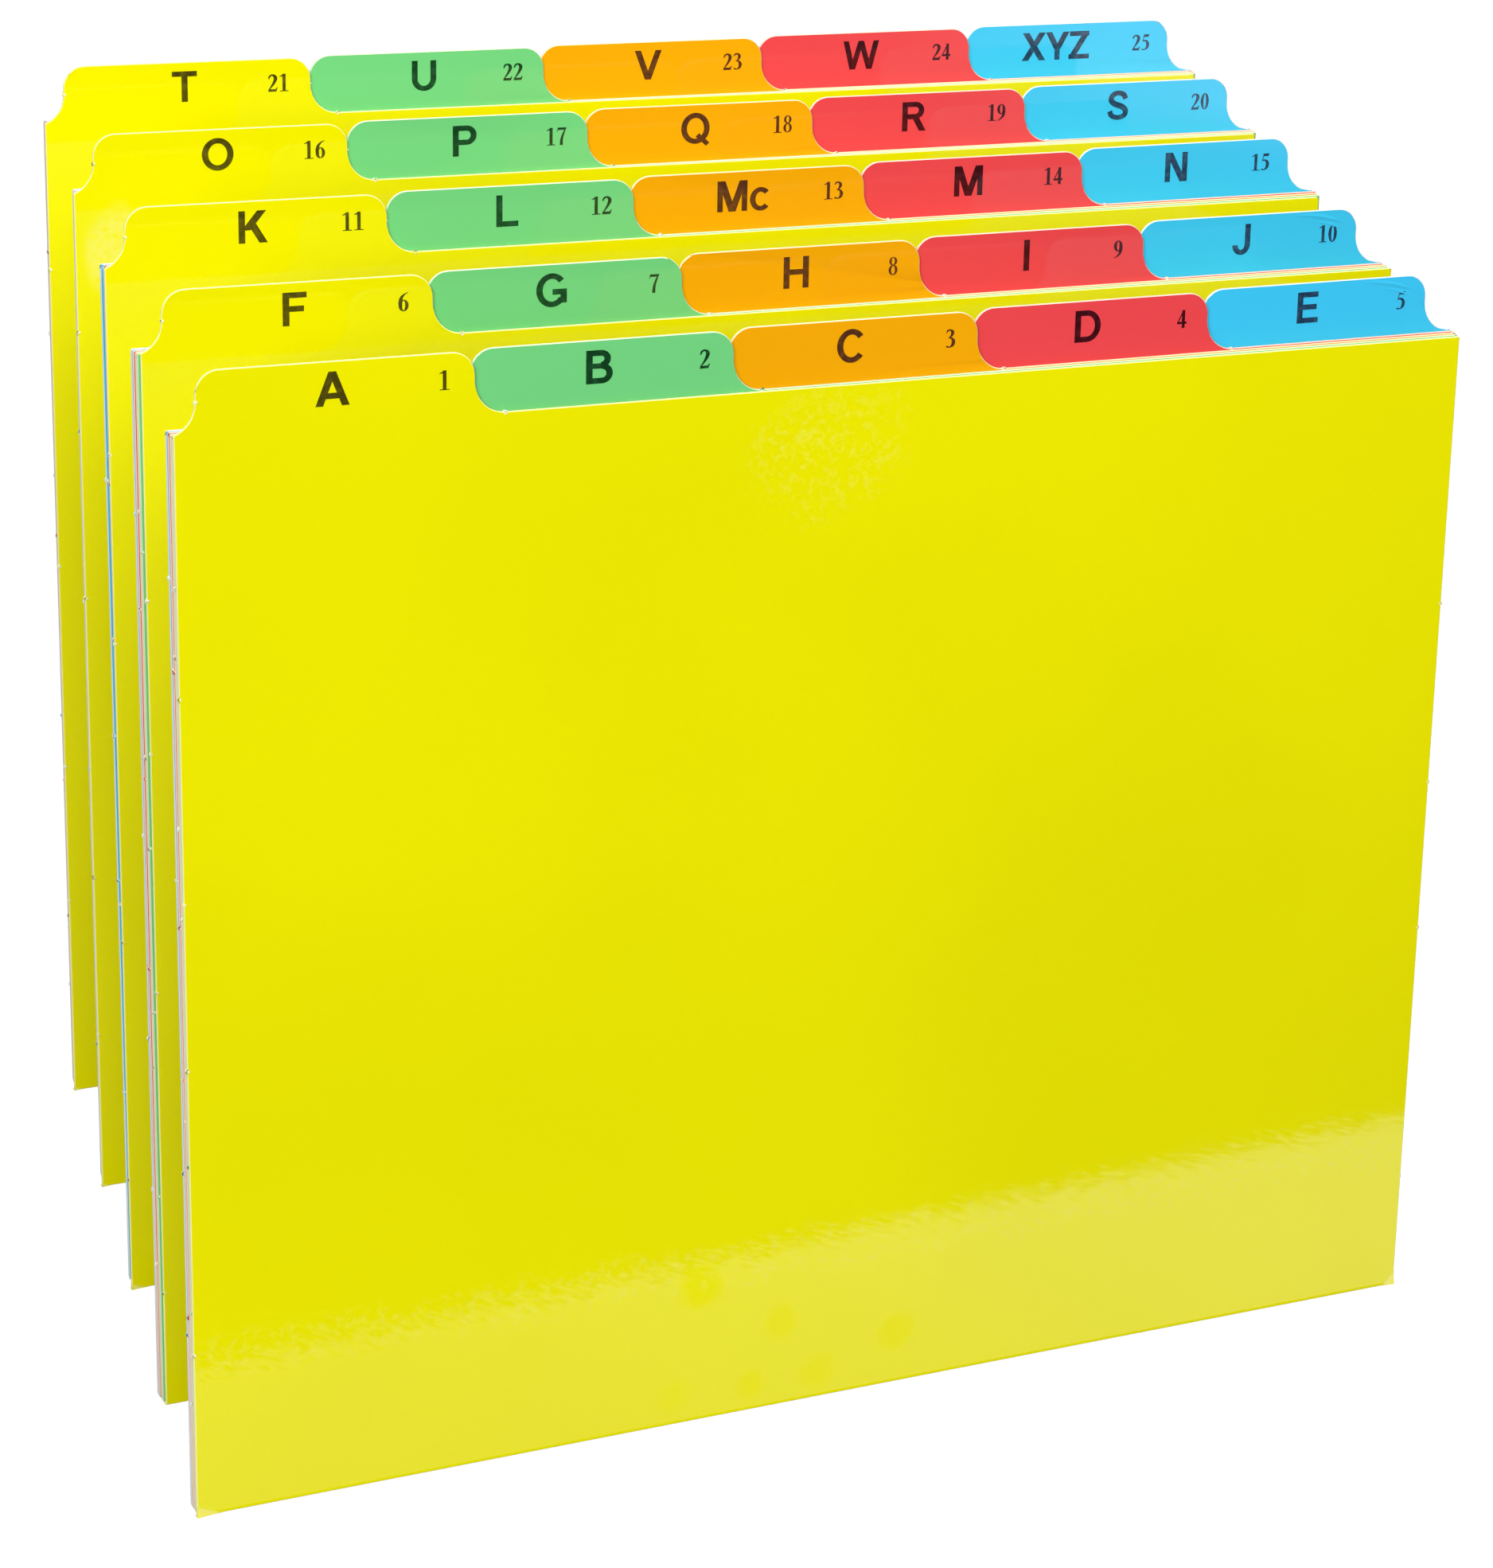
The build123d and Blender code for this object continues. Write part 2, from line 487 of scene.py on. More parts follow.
def letter_shapes():
    """The width of each letter and its parts."""
    s, b = STEM, BAR
    g = {}
    legs = [slant(0.115, 0, 0.49, 1), slant(0.865, 0, 0.49, 1)]
    g["A"] = (0.98, [*legs, rect(0.24, 0.21, 0.74, 0.21 + b)])
    g["B"] = (
        0.80,
        [
            rect(0, 0, s, 1),
            rect(0.1, 0, 0.47, b),
            rect(0.1, 1 - b, 0.44, 1),
            rect(0.1, 0.45, 0.47, 0.45 + b * 0.9),
            *ring(0.47, 0.302, 0.33, 0.302, -90, 90),
            *ring(0.44, 0.735, 0.30, 0.265, -90, 90),
        ],
    )
    g["C"] = (0.88, [*ring(0.46, 0.5, 0.46, 0.52, 38, 322)])
    bars = [rect(0.1, 0, 0.40, b), rect(0.1, 1 - b, 0.40, 1)]
    g["D"] = (0.86, [rect(0, 0, s, 1), *bars, *ring(0.40, 0.5, 0.46, 0.5, -90, 90)])
    bars = [rect(0, 0, 0.74, b), rect(0, 1 - b, 0.72, 1), rect(0, 0.43, 0.68, 0.43 + b)]
    g["E"] = (0.74, [rect(0, 0, s, 1), *bars])
    g["F"] = (0.70, [rect(0, 0, s, 1), rect(0, 1 - b, 0.70, 1), rect(0, 0.42, 0.62, 0.42 + b)])
    g["G"] = (
        0.94,
        [
            *ring(0.48, 0.5, 0.48, 0.52, 40, 300),
            rect(0.50, 0.36, 0.94, 0.36 + b),
            rect(0.94 - s, 0.10, 0.94, 0.45),
            *ring(0.48, 0.5, 0.48, 0.52, 295, 322),
        ],
    )
    g["H"] = (0.82, [rect(0, 0, s, 1), rect(0.82 - s, 0, 0.82, 1), rect(0, 0.43, 0.82, 0.43 + b)])
    g["I"] = (s, [rect(0, 0, s, 1)])
    g["J"] = (0.64, [rect(0.64 - s, 0.30, 0.64, 1), *ring(0.32, 0.32, 0.32, 0.34, 182, 360)])
    arm = slant(0.22, 0.40, 0.70, 1, 0.27)
    g["K"] = (0.88, [rect(0, 0, s, 1), arm, slant(0.75, 0, 0.40, 0.60, 0.25)])
    g["L"] = (0.70, [rect(0, 0, s, 1), rect(0, 0, 0.70, b)])
    stems = [rect(0, 0, s * 0.95, 1), rect(1 - s * 0.95, 0, 1, 1)]
    g["M"] = (1.0, [*stems, slant(0.5, 0, 0.145, 1, 0.23), slant(0.5, 0, 0.855, 1, 0.23)])
    g["N"] = (0.82, [rect(0, 0, s, 1), rect(0.82 - s, 0, 0.82, 1), slant(0.68, 0, 0.14, 1, 0.24)])
    g["O"] = (0.98, [*ring(0.49, 0.5, 0.49, 0.52, 0, 360)])
    bars = [rect(0.1, 1 - b, 0.46, 1), rect(0.1, 0.37, 0.46, 0.37 + b)]
    g["P"] = (0.78, [rect(0, 0, s, 1), *bars, *ring(0.46, 0.685, 0.32, 0.315, -90, 90)])
    tail = [(0.50, 0.22), (0.62, 0.33), (0.98, 0.0), (0.86, -0.10)]
    g["Q"] = (1.0, [*ring(0.49, 0.5, 0.49, 0.52, 0, 360), tail])
    bars = [rect(0.1, 1 - b, 0.47, 1), rect(0.1, 0.41, 0.47, 0.41 + b)]
    g["R"] = (
        0.86,
        [
            rect(0, 0, s, 1),
            *bars,
            *ring(0.47, 0.705, 0.32, 0.295, -90, 90),
            slant(0.74, 0, 0.46, 0.50, 0.24),
        ],
    )
    g["S"] = (
        0.80,
        [
            *brush(
                [
                    (0.09, 0.30, 0.19),
                    (0.17, 0.14, 0.18),
                    (0.40, 0.07, 0.17),
                    (0.64, 0.14, 0.18),
                    (0.69, 0.30, 0.20),
                    (0.56, 0.44, 0.20),
                    (0.26, 0.56, 0.20),
                    (0.13, 0.70, 0.20),
                    (0.20, 0.87, 0.18),
                    (0.40, 0.935, 0.17),
                    (0.60, 0.87, 0.18),
                    (0.68, 0.72, 0.19),
                ]
            )
        ],
    )
    g["T"] = (0.80, [rect(0, 1 - b, 0.80, 1), rect(0.40 - s / 2, 0, 0.40 + s / 2, 1)])
    stems = [rect(0, 0.36, s, 1), rect(0.82 - s, 0.36, 0.82, 1)]
    g["U"] = (0.82, [*stems, *ring(0.41, 0.38, 0.41, 0.40, 180, 360)])
    g["V"] = (0.94, [slant(0.47, 0, 0.105, 1), slant(0.47, 0, 0.835, 1)])
    strokes = ((0.35, 0.10), (0.35, 0.66), (0.97, 0.66), (0.97, 1.22))
    g["W"] = (1.32, [slant(low, 0, top, 1, 0.2) for low, top in strokes])
    g["X"] = (0.92, [slant(0.13, 0, 0.78, 1, 0.25), slant(0.79, 0, 0.14, 1, 0.25)])
    arms = [slant(0.46, 0.38, top, 1, 0.235) for top in (0.12, 0.80)]
    g["Y"] = (0.92, [rect(0.46 - s / 2, 0, 0.46 + s / 2, 0.46), *arms])
    bars = [rect(0, 0, 0.80, b), rect(0.03, 1 - b, 0.78, 1)]
    g["Z"] = (0.80, [*bars, slant(0.13, 0.08, 0.66, 0.92, 0.25)])
    g["c"] = (0.70, [*ring(0.36, 0.36, 0.36, 0.385, 42, 318, STEM * 0.95, 0.15)])
    return g


def number_shapes():
    """The parts of each figure. All are half as wide as they are high."""
    g = {}
    g["0"] = [*ring(0.25, 0.49, 0.225, 0.50, 0, 360, 0.155, 0.05)]
    flag = [(0.04, 0.86), (0.06, 0.83), (0.19, 0.86), (0.30, 1.0), (0.27, 1.0)]
    g["1"] = [rect(0.185, 0.02, 0.335, 0.99), flag, rect(0.06, 0.0, 0.46, 0.045)]
    g["2"] = [
        *brush(
            [
                (0.055, 0.72, 0.045),
                (0.10, 0.87, 0.09),
                (0.22, 0.945, 0.09),
                (0.35, 0.86, 0.155),
                (0.37, 0.70, 0.165),
                (0.28, 0.46, 0.12),
                (0.15, 0.24, 0.07),
                (0.05, 0.09, 0.05),
            ]
        ),
        [
            (0.02, 0.0),
            (0.41, 0.0),
            (0.475, 0.24),
            (0.44, 0.24),
            (0.37, 0.14),
            (0.08, 0.14),
            (0.02, 0.03),
        ],
    ]
    upper = [
        (0.06, 0.80, 0.035),
        (0.11, 0.91, 0.08),
        (0.22, 0.95, 0.08),
        (0.33, 0.86, 0.14),
        (0.33, 0.72, 0.14),
        (0.25, 0.58, 0.07),
        (0.15, 0.53, 0.035),
    ]
    lower = [
        (0.15, 0.535, 0.035),
        (0.31, 0.49, 0.10),
        (0.39, 0.33, 0.165),
        (0.35, 0.13, 0.14),
        (0.22, 0.035, 0.06),
        (0.12, 0.05, 0.08),
        (0.06, 0.09, 0.10),
    ]
    g["3"] = [*brush(upper), *brush(lower)]
    arm = [(0.02, 0.30), (0.05, 0.24), (0.37, 0.98), (0.31, 0.98)]
    g["4"] = [arm, rect(0.02, 0.22, 0.48, 0.34), rect(0.25, 0.0, 0.395, 0.98)]
    g["5"] = [
        [(0.13, 0.83), (0.42, 0.83), (0.47, 0.99), (0.16, 0.99)],
        [(0.085, 0.55), (0.115, 0.54), (0.20, 0.99), (0.155, 0.99)],
        *brush(
            [
                (0.09, 0.56, 0.04),
                (0.20, 0.60, 0.09),
                (0.33, 0.54, 0.13),
                (0.39, 0.37, 0.165),
                (0.35, 0.16, 0.14),
                (0.23, 0.04, 0.06),
                (0.12, 0.04, 0.07),
                (0.06, 0.08, 0.09),
            ]
        ),
    ]
    six = [
        *brush(
            [
                (0.46, 0.975, 0.025),
                (0.30, 0.88, 0.07),
                (0.165, 0.70, 0.13),
                (0.12, 0.44, 0.16),
                (0.14, 0.24, 0.14),
            ]
        ),
        *ring(0.265, 0.305, 0.215, 0.305, 0, 360, 0.145, 0.05),
    ]
    g["6"] = six
    top = [
        (0.06, 0.86),
        (0.44, 0.86),
        (0.475, 0.94),
        (0.475, 0.99),
        (0.07, 0.99),
        (0.02, 0.76),
        (0.045, 0.76),
    ]
    leg = [(0.43, 0.92, 0.06), (0.34, 0.66, 0.09), (0.26, 0.36, 0.12), (0.235, 0.0, 0.15)]
    g["7"] = [top, *brush(leg)]
    g["8"] = [
        *ring(0.25, 0.755, 0.19, 0.235, 0, 360, 0.115, 0.045),
        *ring(0.25, 0.27, 0.215, 0.275, 0, 360, 0.125, 0.045),
    ]
    g["9"] = [[(0.50 - x, 0.985 - y) for x, y in shape] for shape in six]
    return g


LETTERS = letter_shapes()
LETTER_BREADTH = 1.08
LETTER_GAP = 0.10
NARROW_GAP = 0.05
XYZ_SQUEEZE = 0.06
NUMBERS = number_shapes()
NUMBER_STEP = 0.52
NUMBER_WIDE = 0.5
NUMBER_BREADTH = 1.28


def letter_run(text):
    """The polygons of a word set in the plain bold letters, and its width."""
    shapes, x = [], 0.0
    for mark in text:
        wide, parts = LETTERS[mark]
        wide *= LETTER_BREADTH
        gap = NARROW_GAP if mark in "YZ" else LETTER_GAP
        if shapes:
            x += gap - (XYZ_SQUEEZE if text == "XYZ" else 0.0)
        shapes += [[(px * LETTER_BREADTH + x, py) for px, py in part] for part in parts]
        x += wide
    return shapes, x


def number_run(text):
    """The polygons of a number, and its width."""
    shapes = []
    for i, mark in enumerate(text):
        x = i * NUMBER_STEP
        shapes += [[((px + x) * NUMBER_BREADTH, py) for px, py in part] for part in NUMBERS[mark]]
    return shapes, (NUMBER_STEP * (len(text) - 1) + NUMBER_WIDE) * NUMBER_BREADTH


def facing_up(shape):
    """The same polygon, turned so that it runs anticlockwise."""
    area = 0.0
    for (x0, y0), (x1, y1) in zip(shape, shape[1:] + shape[:1]):
        area += x0 * y1 - x1 * y0
    return shape if area > 0 else shape[::-1]


INK_LIFT = 0.008
INK_THICK = 0.022


def print_on(name, shapes, wide, centre, base, height, tier, order):
    """Joins overlapping polygons into one thin raised print on a card's front."""
    points, faces = [], []
    for shape in map(facing_up, shapes):
        faces.append(list(range(len(points), len(points) + len(shape))))
        points += [Vector((x, y)) for x, y in shape]
    verts, _, triangles, _, _, sources = delaunay_2d_cdt(points, [], faces, 0, 1e-5)
    bm = bmesh.new()
    made = []
    for v in verts:
        x = centre + (v.x - wide / 2) * height
        y = base + v.y * height
        made.append(bm.verts.new((x, y, INK_LIFT)))
    for triangle, source in zip(triangles, sources):
        # a triangle with no source lies outside every shape
        if not source:
            continue
        try:
            bm.faces.new([made[i] for i in triangle])
        except ValueError:
            pass
    loose = [v for v in bm.verts if not v.link_faces]
    bmesh.ops.delete(bm, geom=loose, context="VERTS")
    bmesh.ops.recalc_face_normals(bm, faces=bm.faces)
    for f in bm.faces:
        if f.normal.z < 0:
            f.normal_flip()
    bmesh.ops.dissolve_limit(bm, angle_limit=0.002, verts=bm.verts, edges=bm.edges)
    bmesh.ops.triangulate(bm, faces=bm.faces)
    grown = bmesh.ops.extrude_face_region(bm, geom=list(bm.faces), use_keep_orig=True)
    lifted = [e for e in grown["geom"] if isinstance(e, bmesh.types.BMVert)]
    bmesh.ops.translate(bm, verts=lifted, vec=(0, 0, INK_THICK))
    bmesh.ops.recalc_face_normals(bm, faces=bm.faces)
    return piece_on_card(name, bm, tier, order, INKS[COLOURS[order]])


# ----------------------------------------------------------------- torn stubs
STUB_SINK = 0.32
STUBS_PER_SIDE = 4


def stub_places(place, index):
    """Where the die left its stubs, as in the CAD source."""
    places = []
    for step in range(STUBS_PER_SIDE):
        wander = math.sin(2.3 * index + 1.7 * step)
        high = SHEET_HEIGHT * (0.16 + 0.22 * step) + 12 * wander
        places.append((STUB_SINK, high))
        places.append((SHEET_WIDTH - STUB_SINK, high - 9))
    left = TAB_LEFT + TAB_PITCH * place
    right = left + TAB_WAIST
    if place < LAST:
        places.append((right + TAB_FOOT, SHEET_HEIGHT - STUB_SINK))
    if place > 0:
        places.append((left - TAB_FOOT, SHEET_HEIGHT - STUB_SINK))
    places.append((left + STUB_SINK, SHEET_HEIGHT + TAB_FOOT))
    return places


TUFT_LEAST, TUFT_MOST = 0.48, 0.66
TUFT_RAGGED = 0.22
TUFT_HALF_THICK = 0.355


def torn_stubs(name, tier, order):
    """A ragged tuft of white core on each stub."""
    rng = random.Random(100 * tier + order)
    bm = bmesh.new()
    for x, y in stub_places(order, tier * 5 + order):
        tuft = bmesh.ops.create_icosphere(bm, subdivisions=2, radius=1.0)
        reach = rng.uniform(TUFT_LEAST, TUFT_MOST)
        for v in tuft["verts"]:
            ragged = 1.0 + rng.uniform(-TUFT_RAGGED, TUFT_RAGGED)
            across = v.co.x * reach * ragged
            along = v.co.y * reach * ragged * rng.uniform(0.9, 1.1)
            through = v.co.z * TUFT_HALF_THICK * (1 + 0.05 * rng.uniform(-1, 1))
            v.co = Vector((x + across, y + along, through - SHEET_THICKNESS / 2))
    return piece_on_card(name, bm, tier, order, TORN, smooth=True)


# ------------------------------------------------------------- dressing a card
LETTER_HEIGHT, LETTER_BASE = 6.8, SHEET_HEIGHT + 3.85
NUMBER_HEIGHT, NUMBER_BASE = 3.95, SHEET_HEIGHT + 5.3
# How far from the middle of its tab each mark is printed.
LETTER_SHIFT, LAST_LETTER_SHIFT, XYZ_SHIFT = -1.0, -2.0, -3.4
ONE_FIGURE_SHIFT, TWO_FIGURE_SHIFT = 22.4, 21.2


def dress(tier, order, name):
    """Paints one card and adds its letter, number and torn stubs."""
    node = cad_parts["guide_" + name]
    paint(node, HANDLED_AND_SHEEN_SHEETS.get(name, SHEETS[COLOURS[order]]))
    soften_edges(node)
    middle = TAB_LEFT + TAB_PITCH * order + TAB_WAIST / 2

    shapes, wide = letter_run("Mc" if name == "mc" else name.upper())
    shift = XYZ_SHIFT if name == "xyz" else LAST_LETTER_SHIFT if order == LAST else LETTER_SHIFT
    spot = (middle + shift, LETTER_BASE, LETTER_HEIGHT)
    print_on(f"letter_{name}", shapes, wide, *spot, tier, order)

    number = str(tier * 5 + order + 1)
    shapes, wide = number_run(number)
    shift = ONE_FIGURE_SHIFT if len(number) == 1 else TWO_FIGURE_SHIFT
    spot = (middle + shift, NUMBER_BASE, NUMBER_HEIGHT)
    print_on(f"number_{name}", shapes, wide, *spot, tier, order)

    torn_stubs(f"stubs_{name}", tier, order)


for tier, names in enumerate(TIERS):
    for order, name in enumerate(names):
        dress(tier, order, name)


# --------------------------------------------------------------- handling wear, with a painted highlight on the bent corners
def closed_piece(name, points, faces, tier, order, material):
    """A small closed piece from its corners and faces in card space."""
    bm = bmesh.new()
    made = [bm.verts.new(point) for point in points]
    for face in faces:
        bm.faces.new([made[i] for i in face])
    bmesh.ops.recalc_face_normals(bm, faces=bm.faces)
    return piece_on_card(name, bm, tier, order, material)


BEND_STEPS = 6
BEND_DEPTH = 0.2


def bent_corner(name, along, up_side, proud, tier, at_right=False):
    """A lower corner of a tier's front card, bent forward along a crease.

    along and up_side are how far the crease reaches from the corner, and
    proud is how far the corner's tip stands out of the face.
    """
    points, faces = [], []
    for i in range(BEND_STEPS + 1):
        t = i / BEND_STEPS
        lift = proud * t * t
        low = (along * (1 - t), -0.05 * t, lift)
        side = (-0.06 * t, up_side * (1 - t), lift)
        if at_right:
            low, side = [(SHEET_WIDTH - p[0], p[1], p[2]) for p in (low, side)]
        points += [low, side, (low[0], low[1], -BEND_DEPTH), (side[0], side[1], -BEND_DEPTH)]
    for i in range(BEND_STEPS):
        a, b = 4 * i, 4 * (i + 1)
        faces.append((a, a + 1, b + 1, b))
        faces.append((a + 2, b + 2, b + 3, a + 3))
        faces.append((a, b, b + 2, a + 2))
        faces.append((a + 1, a + 3, b + 3, b + 1))
    faces.append((0, 2, 3, 1))
    last = 4 * BEND_STEPS
    faces.append((last, last + 1, last + 3, last + 2))
    return closed_piece(name, points, faces, tier, 0, BENT_SHEET_HIGHLIGHT_AND_WHITENING)


bent_corner("bent_corner_a", 5.5, 2.3, 0.55, 0)
bent_corner("bent_corner_a_right", 3.4, 3.2, 0.30, 0, at_right=True)
bent_corner("bent_corner_k", 3.7, 1.3, 0.30, 2)
bent_corner("bent_corner_o", 1.9, 1.0, 0.22, 3)
bent_corner("bent_corner_t", 1.7, 1.0, 0.20, 4)

CREASE_STEPS = 12
CREASE_LIFT = 0.004
CREASE_DEPTH = 0.1


def crease(name, start, bend, end, wide, high, tier):
    """A low ridge where the last tab of a tier has been folded and flattened again."""
    points, faces = [], []
    for i in range(CREASE_STEPS + 1):
        t = i / CREASE_STEPS
        x = (1 - t) ** 2 * start[0] + 2 * t * (1 - t) * bend[0] + t * t * end[0]
        y = (1 - t) ** 2 * start[1] + 2 * t * (1 - t) * bend[1] + t * t * end[1]
        swell = math.sin(math.pi * min(max(t, 0.04), 0.96))
        half = wide / 2 * swell
        points.append((x, y + half, CREASE_LIFT))
        points.append((x, y, CREASE_LIFT + high * swell))
        points.append((x, y - half, CREASE_LIFT))
        points.append((x, y, -CREASE_DEPTH))
    for i in range(CREASE_STEPS):
        a, b = 4 * i, 4 * (i + 1)
        for k in range(4):
            n = (k + 1) % 4
            faces.append((a + k, a + n, b + n, b + k))
    faces.append((0, 1, 2, 3))
    last = 4 * CREASE_STEPS
    faces.append((last, last + 1, last + 2, last + 3))
    return closed_piece(name, points, faces, tier, LAST, SHEETS[COLOURS[LAST]])


def from_tab_corner(back, down):
    """A spot on the last tab of a tier, from the corner of its waist and its top."""
    right = TAB_LEFT + LAST * TAB_PITCH + TAB_WAIST
    return (right - back, SHEET_HEIGHT + TAB_HEIGHT - down)


for name, tier in (("e", 0), ("j", 1)):
    line = (from_tab_corner(17, 0.9), from_tab_corner(9, 1.0), from_tab_corner(3, 3.4))
    crease(f"crease_{name}", *line, 1.3, 0.10, tier)
    line = (from_tab_corner(12, 2.6), from_tab_corner(7, 2.8), from_tab_corner(3.4, 5.0))
    crease(f"crease_{name}_low", *line, 0.9, 0.06, tier)


# ---------------------------------------------------------------------- camera
CAMERA_AT = Vector((-0.4115, -0.7686, 0.5754))
CAMERA_AZIMUTH = math.radians(29.375)
CAMERA_ELEVATION = math.radians(30.251)
CAMERA_ROLL = math.radians(8.776)
LENS = 94.38
SENSOR_WIDTH = 36


def photo_camera():
    """The camera at the photo's viewing angle: from the front left, looking down."""
    ahead = Vector(
        (
            math.sin(CAMERA_AZIMUTH) * math.cos(CAMERA_ELEVATION),
            math.cos(CAMERA_AZIMUTH) * math.cos(CAMERA_ELEVATION),
            -math.sin(CAMERA_ELEVATION),
        )
    )
    level = ahead.cross(Vector((0, 0, 1))).normalized()
    above = level.cross(ahead)
    right = level * math.cos(CAMERA_ROLL) + above * math.sin(CAMERA_ROLL)
    up = above * math.cos(CAMERA_ROLL) - level * math.sin(CAMERA_ROLL)
    data = bpy.data.cameras.new("camera")
    data.lens = LENS
    data.sensor_width = SENSOR_WIDTH
    data.clip_start = 0.01
    data.clip_end = 100
    camera = bpy.data.objects.new("camera", data)
    turn = Matrix((right, up, -ahead)).transposed().to_4x4()
    camera.matrix_world = Matrix.Translation(CAMERA_AT) @ turn
    bpy.context.scene.collection.objects.link(camera)
    bpy.context.scene.camera = camera


photo_camera()


# ----------------------------------------------------------------------- stage
def quad(name, corners, material):
    """A flat four-cornered piece that belongs to the studio."""
    mesh = bpy.data.meshes.new(name)
    mesh.from_pydata([tuple(c) for c in corners], [], [(0, 1, 2, 3)])
    obj = mesh_object(name, mesh)
    paint(obj, material)
    return obj


# The lit part of the floor, which shows in the gloss of the front card: where its edge
# furthest from the set lies, how that edge slants, how soft it is, and how broken it looks.
LIT_EDGE_Y = -0.333
LIT_EDGE_SLANT = 0.143
LIT_EDGE_DARK = -0.006
LIT_EDGE_FULL = 0.014
LIT_EDGE_BREAK = 0.16
# It ends just ahead of the foot of the front card.
LIT_END_Y = -0.160
# The light that the camera sees of the floor: its share, and its strength.
FLOOR_GLOW_SHARE = 0.86
FLOOR_GLOW = 1.15
FLOOR_HALF = 6.0
FLOOR_DROP = 0.0002


def floor_material():
    """A pale floor. The gloss only picks up the lit part of it near the cards."""
    nodes = material_nodes("pale_floor")
    spot = nodes.place()
    grain = nodes.ramp(nodes.noise(spot, 60.0, 3.0), 0.3, 0.7)
    plain = nodes.add("ShaderNodeBsdfDiffuse")
    nodes.put(plain, "Color", nodes.mix(grain, (0.42, 0.42, 0.42, 1), (0.40, 0.40, 0.40, 1)))
    white = nodes.add("ShaderNodeEmission", Strength=FLOOR_GLOW)
    camera_share = nodes.maths("MULTIPLY", nodes.ray("Is Camera Ray"), FLOOR_GLOW_SHARE)
    seen = nodes.blend(camera_share, plain.outputs[0], white.outputs[0])

    # the gloss is not quite even, which breaks up the edge of what it reflects
    apart = nodes.add("ShaderNodeSeparateXYZ")
    nodes.put(apart, "#0", spot)
    x, y = apart.outputs["X"], apart.outputs["Y"]
    specks = nodes.noise(nodes.stretched(spot, (1.0, 0.2, 1.0)), 480.0, 4.0, 0.65)
    broken = nodes.maths("MULTIPLY", nodes.maths("SUBTRACT", specks, 0.5), LIT_EDGE_BREAK)
    slanted = nodes.maths("ADD", y, nodes.maths("MULTIPLY", x, LIT_EDGE_SLANT))
    place = nodes.maths("ADD", slanted, broken)
    near = nodes.ramp(place, LIT_EDGE_Y + LIT_EDGE_DARK, LIT_EDGE_Y + LIT_EDGE_FULL)
    near = nodes.maths("MULTIPLY", near, nodes.maths("LESS_THAN", y, LIT_END_Y))
    brighter_right = nodes.ramp(x, -0.1, 0.2, 0.7, 1.4)
    glow = nodes.add("ShaderNodeEmission")
    nodes.put(glow, "Strength", nodes.maths("MULTIPLY", near, brighter_right))
    return nodes.finish(nodes.blend(nodes.ray("Is Glossy Ray"), seen, glow.outputs[0]))


ROUND_THE_QUAD = ((-1, -1), (1, -1), (1, 1), (-1, 1))
floor_corners = [(x * FLOOR_HALF, y * FLOOR_HALF, -FLOOR_DROP) for x, y in ROUND_THE_QUAD]
quad("floor", floor_corners, floor_material())


def panel_material(name, centre, side, half_side, strength):
    """A glow that fades in from the panel's side edges towards its middle."""
    nodes = material_nodes(name)
    along = nodes.vector("DOT_PRODUCT", nodes.place(), tuple(side)).outputs["Value"]
    offset = nodes.maths("ABSOLUTE", nodes.maths("SUBTRACT", along, centre.dot(side)))
    glow = nodes.add("ShaderNodeEmission")
    nodes.put(glow, "Strength", nodes.ramp(offset, 0.3 * half_side, half_side, strength, 0.0))
    return nodes.finish(glow.outputs[0])


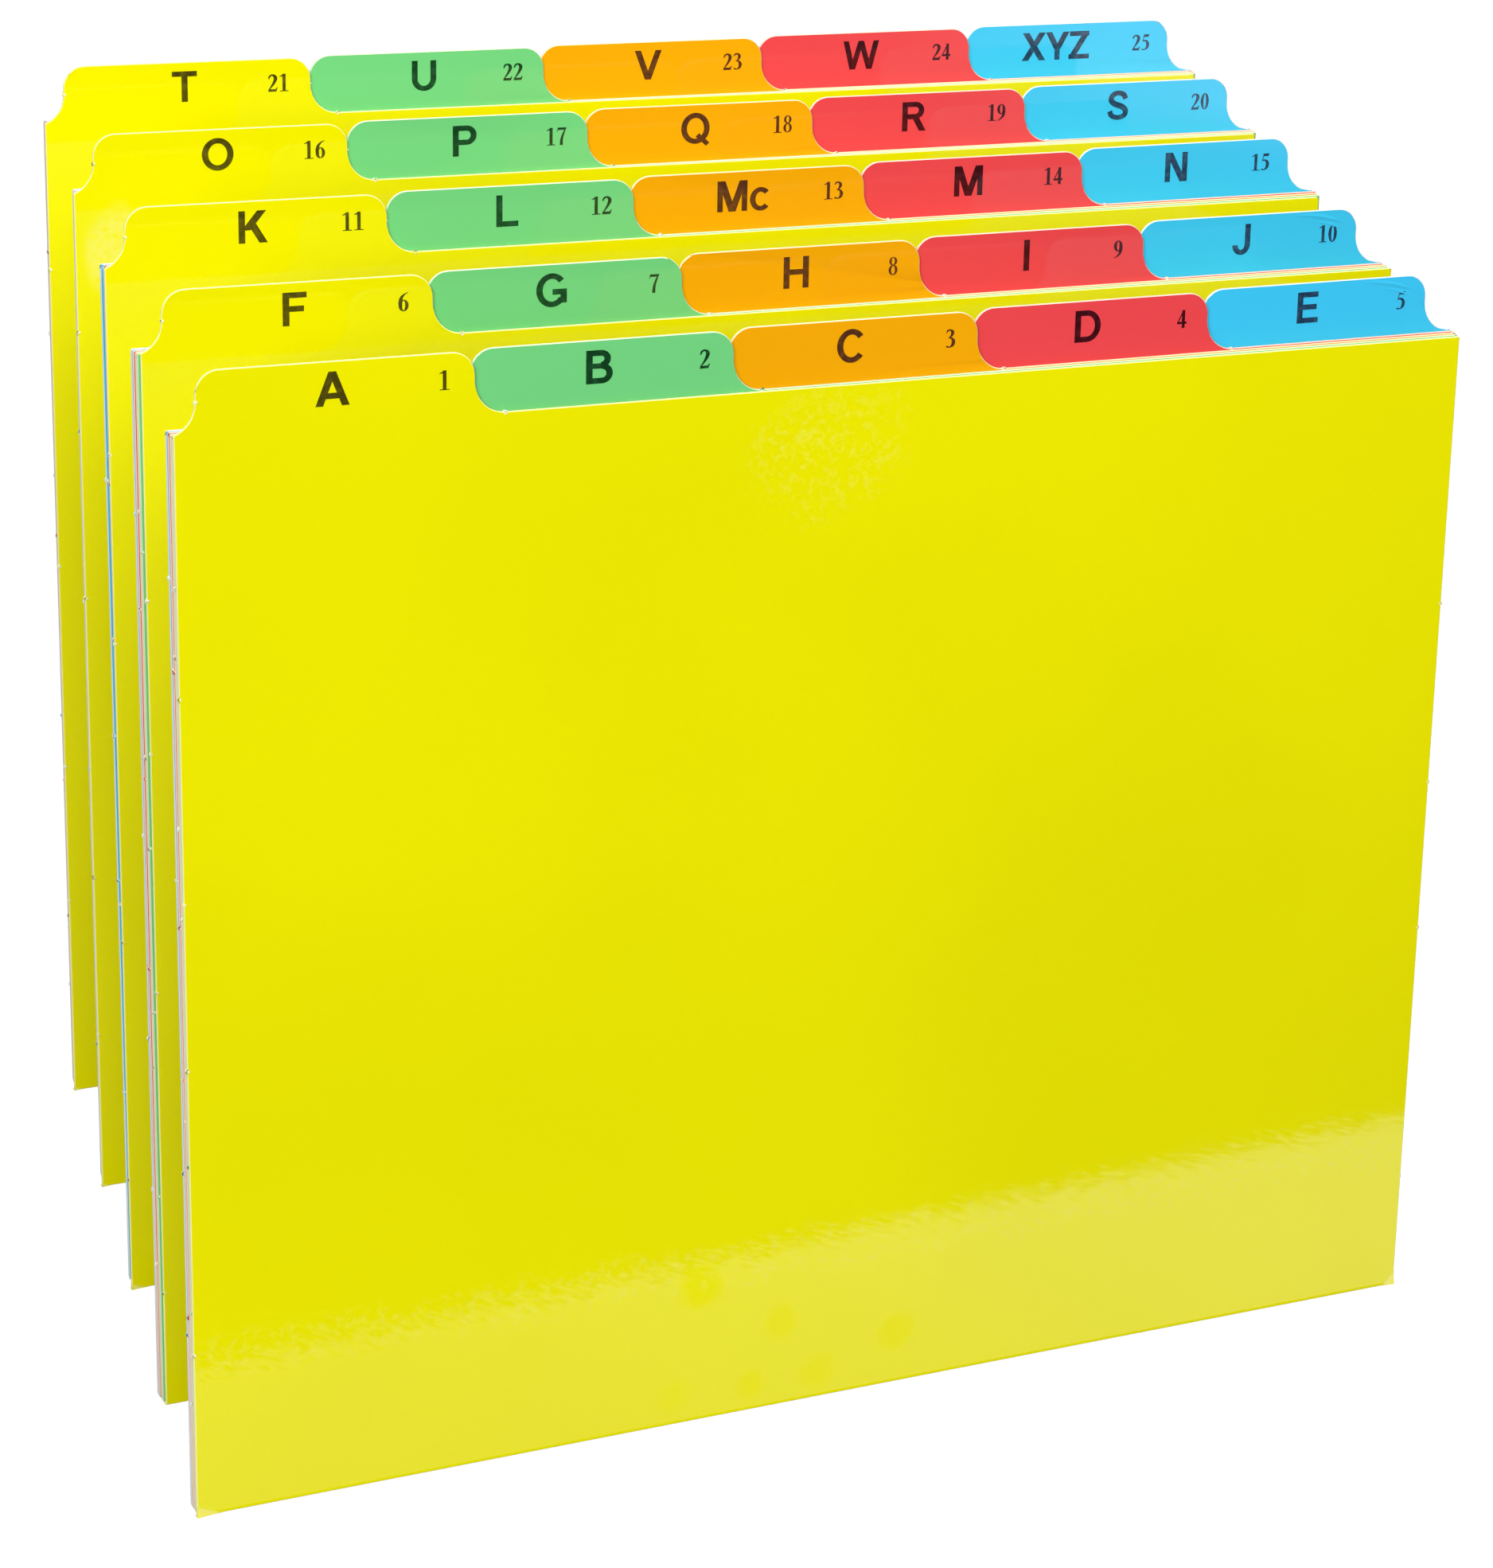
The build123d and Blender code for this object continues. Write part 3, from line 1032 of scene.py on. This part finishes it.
def reflected_panel(name, tier, x, y, half_x, half_y, distance, strength):
    """A bright panel that shows only in the gloss, at a spot on a tier's front card.

    x, y and the half sizes are in the plane of that card, in millimetres.
    """
    spot = card_point(tier, 0, x, y)
    look = (spot - CAMERA_AT).normalized()
    out = look - 2 * look.dot(FRONT) * FRONT
    centre = spot + out * distance
    grow = 1 + distance / (spot - CAMERA_AT).length
    side = out.cross(UP).normalized()
    tall = side.cross(out)
    half_side = half_x * MM * grow
    half_tall = half_y * MM * grow
    corners = [centre + side * a * half_side + tall * b * half_tall for a, b in ROUND_THE_QUAD]
    panel = quad(name, corners, panel_material(name, centre, side, half_side, strength))
    for way in ("camera", "diffuse", "transmission", "shadow", "volume_scatter"):
        setattr(panel, "visible_" + way, False)


reflected_panel("panel_right", 4, 396, 262, 190, 50, 2.0, 1.6)

WORLD_LEVEL = 0.01
WORLD_LEVEL_IN_GLOSS = 0.001


def studio_world():
    """White behind everything for the camera, and nearly dark for light and gloss."""
    nodes = Nodes(bpy.data.worlds.new("studio"))

    def white(level):
        return nodes.add("ShaderNodeBackground", Color=WHITE, Strength=level).outputs[0]

    in_gloss = nodes.ray("Is Glossy Ray")
    unseen = nodes.blend(in_gloss, white(WORLD_LEVEL), white(WORLD_LEVEL_IN_GLOSS))
    both = nodes.blend(nodes.ray("Is Camera Ray"), unseen, white(1.0))
    return nodes.finish(both, "ShaderNodeOutputWorld")


bpy.context.scene.world = studio_world()

MIDDLE = Vector((0, -0.08, 0.12))


def soft_light(name, place, size, power):
    """A square light aimed at the middle of the set, which the gloss doesn't show."""
    data = bpy.data.lights.new(name, "AREA")
    data.shape = "SQUARE"
    data.size = size
    data.energy = power
    light = bpy.data.objects.new(name, data)
    light.location = place
    light.rotation_mode = "QUATERNION"
    light.rotation_quaternion = (MIDDLE - place).to_track_quat("-Z", "Y")
    light.visible_glossy = False
    light.visible_camera = False
    bpy.context.scene.collection.objects.link(light)


def light_at(azimuth, elevation, distance):
    """A place round the set: azimuth from the front towards the left, in degrees."""
    a, e = math.radians(azimuth), math.radians(elevation)
    way = Vector((-math.sin(a) * math.cos(e), -math.cos(a) * math.cos(e), math.sin(e)))
    return MIDDLE + way * distance


soft_light("high_front", light_at(12, 60, 3.0), 1.4, 34)
soft_light("left_side", light_at(52, 24, 3.0), 1.4, 58)
soft_light("overhead", Vector((0, 0, 0.85)), 0.5, 4.9)
soft_light("rear_fill", Vector((0.7, 2.4, 1.2)), 1.4, 36)

bpy.context.scene.view_settings.view_transform = "Standard"
bpy.context.scene.view_settings.look = "None"
